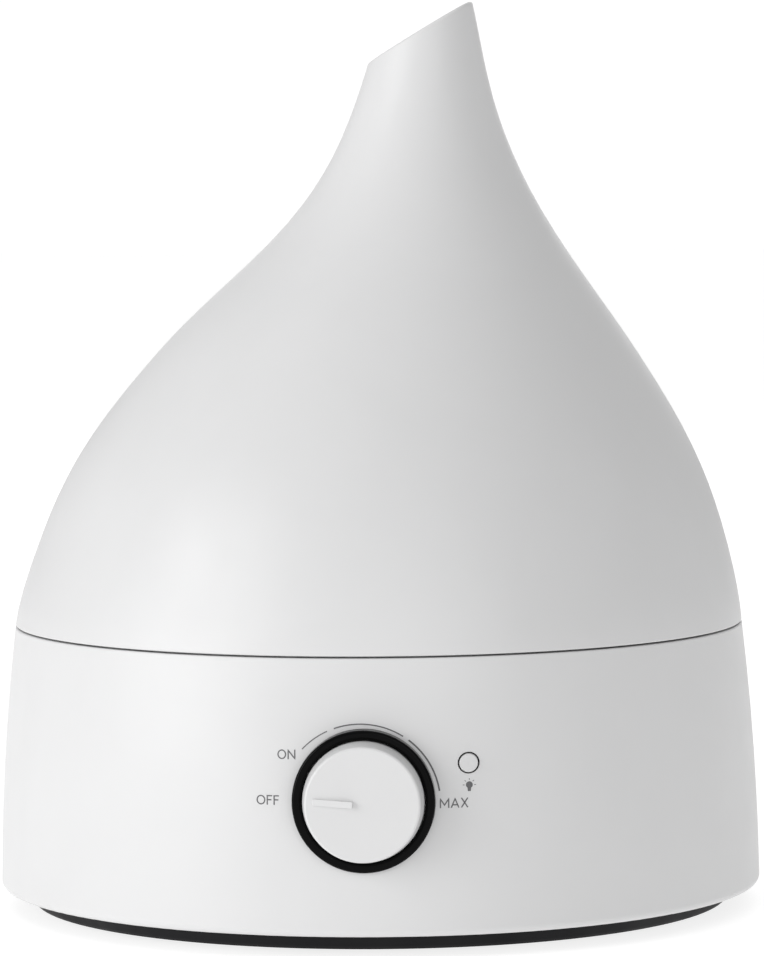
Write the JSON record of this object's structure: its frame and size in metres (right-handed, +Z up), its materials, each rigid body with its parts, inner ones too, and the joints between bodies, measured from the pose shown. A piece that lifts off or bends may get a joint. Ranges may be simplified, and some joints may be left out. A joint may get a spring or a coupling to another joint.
{
  "type": "essential oil diffuser",
  "caption": "Drop-shaped ultrasonic essential oil diffuser: lift-off water tank with a slanted mist spout on a round base with a dial, a light button, a fan and an oil tray.",
  "frame": {"origin": "centre of the round base on the surface that the rubber foot stands on", "axes": "+Z up along the base's axis, the control panel faces -Y, the spout leans towards +X"},
  "size_m": [0.2208, 0.2318, 0.2608],
  "materials": {
    "shell_white": "fine satin",
    "knob_white": "satin",
    "inner_white": "smooth",
    "chimney_clear": "smooth",
    "cap_grey": "satin",
    "float_white": "matte foam-filled",
    "base_black": "fine grain",
    "bezel_black": "polished",
    "component_black": "moulded",
    "foot_rubber": "matte",
    "seal_rubber": "smooth silicone",
    "steel": "plain",
    "transducer_brass": "plated",
    "board_green": "lacquered laminate",
    "sink_aluminium": "extruded",
    "coil_copper": "enamelled",
    "socket_cream": "moulded",
    "lead_covering": "smooth",
    "lens_frosted": "frosted",
    "emitter": "smooth",
    "pad_felt": "felt"
  },
  "bodies": {
    "base": {"base_shell": "shell_white", "base_deck": "inner_white", "mist_chamber": "inner_white", "screw_pillars": "inner_white", "transducer_seat": "inner_white", "tray_sleeve": "inner_white", "float_stop": "inner_white", "bottom_plate": "base_black", "inlet_bezel": "base_black", "fan_housing": "base_black", "air_duct": "base_black", "knob_bezel": "bezel_black", "light_switch": "component_black", "power_inlet": "component_black", "power_transistor": "component_black", "rubber_foot": "foot_rubber", "transducer_gasket": "seal_rubber", "base_screws": "steel", "board_screws": "steel", "retainer_screws": "steel", "transducer_retainer": "steel", "control_bracket": "steel", "potentiometer": "steel", "potentiometer_nut": "steel", "transducer_disc": "transducer_brass", "driver_board": "board_green", "control_board": "board_green", "light_board": "board_green", "heat_sink": "sink_aluminium", "board_capacitors": "sink_aluminium", "board_coil": "coil_copper", "board_connectors": "socket_cream", "internal_leads": "lead_covering", "light_lens": "lens_frosted", "light_emitters": "emitter"},
    "tank": {"tank_shell": "shell_white", "tank_floor": "inner_white", "neck_tube": "inner_white", "mist_skirt": "inner_white", "mist_chimney": "chimney_clear"},
    "cap": {"fill_cap": "cap_grey", "cap_gasket": "seal_rubber", "valve_spring": "steel"},
    "valve": {"valve_stem": "cap_grey", "valve_seal": "seal_rubber"},
    "float": {"float_ring": "float_white"},
    "fan": {"fan_rotor": "base_black"},
    "knob": {"control_knob": "knob_white", "potentiometer_shaft": "steel"},
    "button": {"light_button": "shell_white", "switch_plunger": "socket_cream"},
    "tray": {"oil_tray": "shell_white", "oil_pad": "pad_felt"}
  },
  "joints": [
    {"name": "tank_lift", "type": "slide", "parent": "base", "child": "tank", "axis": [0, 0, 1], "range_m": [0, 0.12]},
    {"name": "fill_cap_turn", "type": "hinge", "parent": "tank", "child": "cap", "pos_m": [-0.046, 0, 0.075], "axis": [0, 0, -1], "range_deg": [0, 60]},
    {"name": "valve_slide", "type": "slide", "parent": "cap", "child": "valve", "axis": [0, 0, 1], "range_m": [-0.0027, 0], "deforming": ["valve_spring"]},
    {"name": "float_rise", "type": "slide", "parent": "base", "child": "float", "axis": [0, 0, 1], "range_m": [0, 0.007]},
    {"name": "fan_spin", "type": "hinge", "parent": "base", "child": "fan", "pos_m": [0.014, 0.04, 0.012], "axis": [0, 0, 1], "continuous": true},
    {"name": "knob_turn", "type": "hinge", "parent": "base", "child": "knob", "pos_m": [0, -0.11, 0.0431], "axis": [0, 1, 0], "range_deg": [0, 172]},
    {"name": "button_press", "type": "slide", "parent": "base", "child": "button", "axis": [0, 1, 0], "range_m": [0, 0.0008], "stiffness_N_per_m": 1500},
    {"name": "tray_slide", "type": "slide", "parent": "base", "child": "tray", "axis": [0, 1, 0], "range_m": [0, 0.03]}
  ],
  "couplings": [
    {"joint": "valve_slide", "follows": "tank_lift", "ratio": -0.0225}
  ]
}
